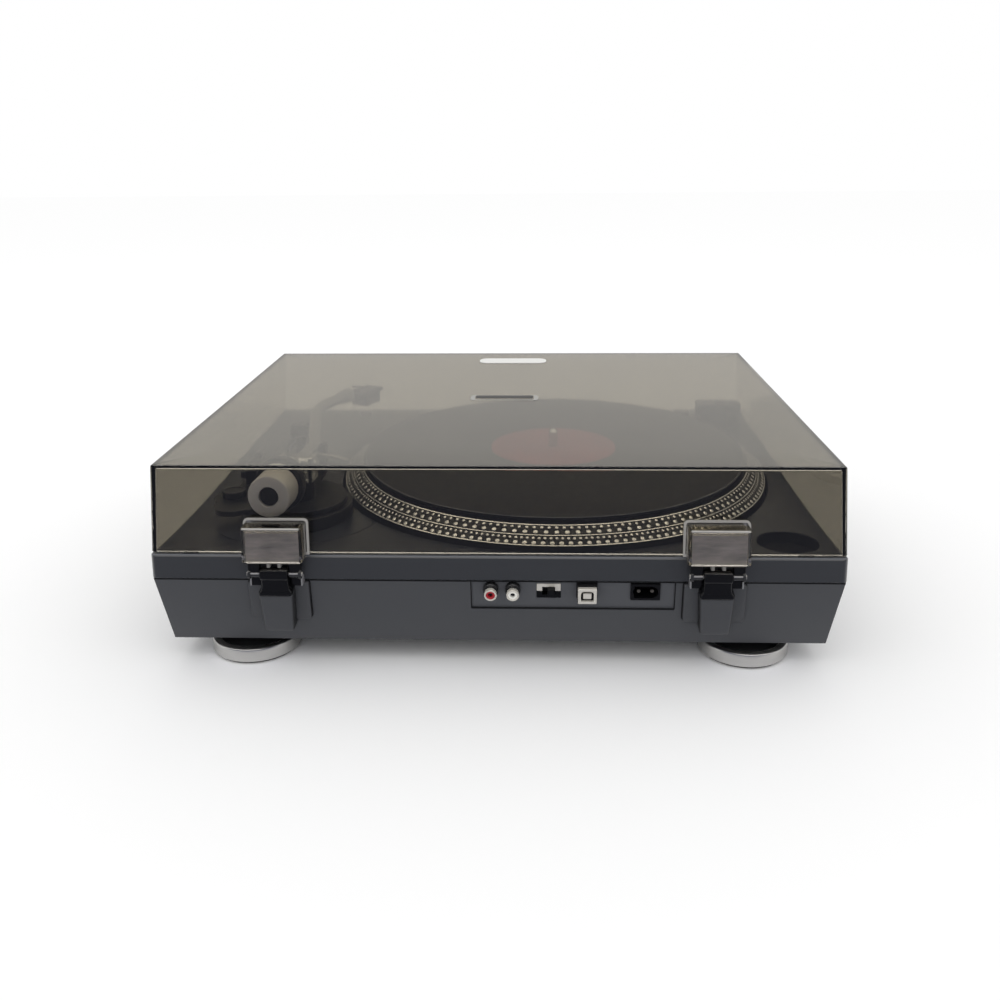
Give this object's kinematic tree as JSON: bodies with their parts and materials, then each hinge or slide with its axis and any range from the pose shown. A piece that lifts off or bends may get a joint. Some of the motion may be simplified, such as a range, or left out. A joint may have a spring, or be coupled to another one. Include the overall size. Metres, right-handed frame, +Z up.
{
  "type": "direct drive turntable",
  "caption": "Direct drive turntable with a drafted plinth, turned feet, strobe-dotted platter, S-shaped tonearm, rear connector panel and a hinged smoked dust cover.",
  "frame": {"origin": "on the table, under the middle of the whole outline, rear hinges included", "axes": "+X to the right seen from the front, +Y to the back where the connectors are, +Z up"},
  "size_m": [0.45, 0.371, 0.138],
  "materials": {
    "base_plastic": "fine grained matte",
    "deck_paint": "satin charcoal",
    "foot_metal": "turned satin",
    "cover_smoke": "smoked clear gloss",
    "pocket_smoke": "smoked clear gloss",
    "black_rubber": "matte",
    "hinge_black": "gloss black",
    "steel": "satin",
    "leaf_plastic": "matte",
    "panel_plastic": "matte",
    "black_plastic": "semi gloss",
    "nickel": "bright nickel",
    "red_plastic": "gloss",
    "white_plastic": "gloss",
    "platter_metal": "dark satin with bright strobe dots",
    "felt": "felt",
    "vinyl": "grooved gloss black",
    "label_paper": "matte paper",
    "magnet": "matte",
    "bronze": "machined",
    "board_green": "semi gloss",
    "copper": "enamelled wire",
    "arm_black": "satin",
    "arm_metal": "satin",
    "weight_metal": "satin nickel",
    "dark_metal": "anodised",
    "stylus_red": "gloss",
    "button_grey": "satin"
  },
  "bodies": {
    "chassis": {"plinth_base": "base_plastic", "deck": "deck_paint", "case_screws": "steel", "hinge_housings": "base_plastic", "hinge_bases": "hinge_black", "hinge_pins": "steel", "connector_panel": "panel_plastic", "jack_bodies": "black_plastic", "jack_shells": "nickel", "jack_cup_red": "red_plastic", "jack_cup_white": "white_plastic", "switch_frame": "nickel", "usb_body": "black_plastic", "usb_shell": "nickel", "mains_inlet": "black_plastic", "inlet_pins": "nickel", "bearing": "bronze", "motor_board": "board_green", "stator_coils": "copper", "main_board": "board_green", "control_board": "board_green", "arm_mount": "arm_black", "strobe_tower": "dark_metal", "fader_body": "steel"},
    "cover": {"dust_cover": "cover_smoke", "lid_pockets": "pocket_smoke", "lid_bumpers": "black_rubber", "hinge_leaves": "leaf_plastic"},
    "platter_group": {"platter": "platter_metal", "mat": "felt", "record": "vinyl", "record_label": "label_paper", "spindle": "steel", "rotor_magnet": "magnet"},
    "height_ring_body": {"height_ring": "arm_black"},
    "arm_base": {"arm_plate": "arm_black"},
    "anti_skate": {"anti_skate_dial": "arm_black"},
    "cue": {"cue_lever": "dark_metal"},
    "lift": {"arm_lift": "arm_black"},
    "gimbal": {"gimbal_yoke": "arm_metal", "pivot_screws": "steel"},
    "arm": {"arm_tube": "arm_metal", "shaft_cap": "black_plastic", "headshell": "dark_metal", "cartridge": "black_plastic", "stylus": "stylus_red"},
    "weight": {"counterweight": "weight_metal"},
    "force": {"force_dial": "weight_metal"},
    "collar": {"head_collar": "arm_metal"},
    "power": {"power_knob": "dark_metal"},
    "start": {"start_button": "button_grey"},
    "speed_33": {"speed_button_33": "button_grey"},
    "speed_45": {"speed_button_45": "button_grey"},
    "pitch": {"pitch_knob": "arm_black"},
    "lamp": {"pop_up_lamp": "arm_metal"},
    "switch": {"switch_slider": "black_plastic"},
    "foot_fl": {"foot_front_left": "foot_metal"},
    "foot_fr": {"foot_front_right": "foot_metal"},
    "foot_rl": {"foot_rear_left": "foot_metal"},
    "foot_rr": {"foot_rear_right": "foot_metal"}
  },
  "joints": [
    {"name": "cover_hinge", "type": "hinge", "parent": "chassis", "child": "cover", "pos_m": [0, 0.17951, 0.06849], "axis": [-1, 0, 0], "range_deg": [0, 65]},
    {"name": "platter_spin", "type": "hinge", "parent": "chassis", "child": "platter_group", "pos_m": [-0.04003, -0.0055, 0.0913], "axis": [0, 0, -1], "continuous": true},
    {"name": "height_turn", "type": "hinge", "parent": "chassis", "child": "height_ring_body", "pos_m": [0.14503, 0.09248, 0.082], "axis": [0, 0, 1], "range_deg": [0, 330]},
    {"name": "arm_height", "type": "slide", "parent": "chassis", "child": "arm_base", "axis": [0, 0, 1], "range_m": [0, 0.004]},
    {"name": "anti_skate_turn", "type": "hinge", "parent": "arm_base", "child": "anti_skate", "pos_m": [0.19103, 0.09348, 0.093], "axis": [0, 0, 1], "range_deg": [0, 270]},
    {"name": "cue_turn", "type": "hinge", "parent": "arm_base", "child": "cue", "pos_m": [0.19203, 0.06248, 0.097], "axis": [-1, 0, 0], "range_deg": [0, 45]},
    {"name": "lift_rise", "type": "slide", "parent": "arm_base", "child": "lift", "axis": [0, 0, 1], "range_m": [0, 0.0016]},
    {"name": "arm_swing", "type": "hinge", "parent": "arm_base", "child": "gimbal", "pos_m": [0.14503, 0.09248, 0.112], "axis": [0, 0, -1], "range_deg": [0, 44]},
    {"name": "arm_tilt", "type": "hinge", "parent": "gimbal", "child": "arm", "pos_m": [0.14503, 0.09248, 0.112], "axis": [-0.998, 0.0628, 0], "range_deg": [0, 3]},
    {"name": "weight_turn", "type": "hinge", "parent": "arm", "child": "weight", "pos_m": [0.14503, 0.09248, 0.112], "axis": [0.0628, 0.998, 0], "range_deg": [-180, 180]},
    {"name": "force_turn", "type": "hinge", "parent": "arm", "child": "force", "pos_m": [0.14503, 0.09248, 0.112], "axis": [0.0628, 0.998, 0], "range_deg": [-180, 180]},
    {"name": "collar_turn", "type": "hinge", "parent": "arm", "child": "collar", "pos_m": [0.13081, -0.13357, 0.112], "axis": [0.4321, 0.9018, 0], "range_deg": [0, 50]},
    {"name": "power_turn", "type": "hinge", "parent": "chassis", "child": "power", "pos_m": [-0.20403, -0.1305, 0.092], "axis": [0, 0, 1], "range_deg": [0, 90]},
    {"name": "start_press", "type": "slide", "parent": "chassis", "child": "start", "axis": [0, 0, -1], "range_m": [0, 0.0015], "stiffness_N_per_m": 700, "springref_m": -0.001},
    {"name": "speed_33_press", "type": "slide", "parent": "chassis", "child": "speed_33", "axis": [0, 0, -1], "range_m": [0, 0.0015], "stiffness_N_per_m": 400, "springref_m": -0.001},
    {"name": "speed_45_press", "type": "slide", "parent": "chassis", "child": "speed_45", "axis": [0, 0, -1], "range_m": [0, 0.0015], "stiffness_N_per_m": 400, "springref_m": -0.001},
    {"name": "pitch_slide", "type": "slide", "parent": "chassis", "child": "pitch", "axis": [0, 1, 0], "range_m": [-0.045, 0.045]},
    {"name": "lamp_pop", "type": "slide", "parent": "chassis", "child": "lamp", "axis": [0, 0, 1], "range_m": [0, 0.02]},
    {"name": "switch_slide", "type": "slide", "parent": "chassis", "child": "switch", "axis": [1, 0, 0], "range_m": [0, 0.0032]},
    {"name": "foot_fl_turn", "type": "hinge", "parent": "chassis", "child": "foot_fl", "pos_m": [-0.16603, -0.1545, 0.006], "axis": [0, 0, 1], "range_deg": [-180, 180]},
    {"name": "foot_fr_turn", "type": "hinge", "parent": "chassis", "child": "foot_fr", "pos_m": [0.16603, -0.1545, 0.006], "axis": [0, 0, 1], "range_deg": [-180, 180]},
    {"name": "foot_rl_turn", "type": "hinge", "parent": "chassis", "child": "foot_rl", "pos_m": [-0.16603, 0.1415, 0.006], "axis": [0, 0, 1], "range_deg": [-180, 180]},
    {"name": "foot_rr_turn", "type": "hinge", "parent": "chassis", "child": "foot_rr", "pos_m": [0.16603, 0.1415, 0.006], "axis": [0, 0, 1], "range_deg": [-180, 180]}
  ],
  "couplings": [
    {"joint": "arm_height", "follows": "height_turn", "m_per_rad": 0.00069276},
    {"joint": "lift_rise", "follows": "cue_turn", "m_per_rad": 0.0020245},
    {"joint": "arm_tilt", "follows": "cue_turn", "ratio": 0.066444}
  ]
}
